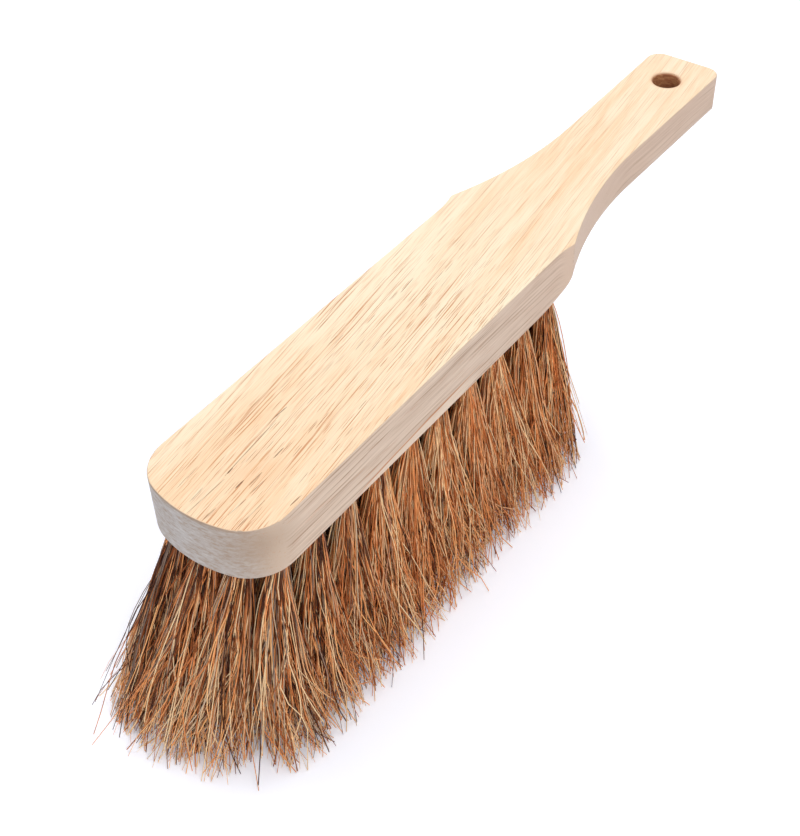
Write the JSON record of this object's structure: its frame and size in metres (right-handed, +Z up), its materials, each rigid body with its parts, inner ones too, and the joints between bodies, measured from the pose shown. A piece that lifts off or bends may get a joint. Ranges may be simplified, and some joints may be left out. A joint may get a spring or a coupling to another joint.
{
  "type": "hand broom",
  "caption": "Hand broom: one-piece wooden stock with a flat-topped head, a necked handle with a hanging hole, and splayed coir tufts anchored in blind holes.",
  "frame": {"origin": "middle of the broom's outer box, on the surface that the tips stand on", "axes": "+X along the broom from the front of the head to the handle's end, +Z up from the tips to the flat top, +Y to the left when looking along +X"},
  "size_m": [0.301, 0.065, 0.085],
  "materials": {
    "wood": "sanded bare pale hardwood",
    "coir": "dry coir fibre",
    "wire": "flat drawn wire"
  },
  "bodies": {
    "root": {"stock": "wood", "left_outer_tuft_01": "coir", "left_outer_tuft_02": "coir", "left_outer_tuft_03": "coir", "left_outer_tuft_04": "coir", "left_outer_tuft_05": "coir", "left_outer_tuft_06": "coir", "left_outer_tuft_07": "coir", "left_outer_tuft_08": "coir", "left_outer_tuft_09": "coir", "left_outer_tuft_10": "coir", "left_inner_tuft_01": "coir", "left_inner_tuft_02": "coir", "left_inner_tuft_03": "coir", "left_inner_tuft_04": "coir", "left_inner_tuft_05": "coir", "left_inner_tuft_06": "coir", "left_inner_tuft_07": "coir", "left_inner_tuft_08": "coir", "left_inner_tuft_09": "coir", "left_inner_tuft_10": "coir", "right_inner_tuft_01": "coir", "right_inner_tuft_02": "coir", "right_inner_tuft_03": "coir", "right_inner_tuft_04": "coir", "right_inner_tuft_05": "coir", "right_inner_tuft_06": "coir", "right_inner_tuft_07": "coir", "right_inner_tuft_08": "coir", "right_inner_tuft_09": "coir", "right_inner_tuft_10": "coir", "right_outer_tuft_01": "coir", "right_outer_tuft_02": "coir", "right_outer_tuft_03": "coir", "right_outer_tuft_04": "coir", "right_outer_tuft_05": "coir", "right_outer_tuft_06": "coir", "right_outer_tuft_07": "coir", "right_outer_tuft_08": "coir", "right_outer_tuft_09": "coir", "right_outer_tuft_10": "coir", "tuft_anchors": "wire"}
  },
  "joints": []
}
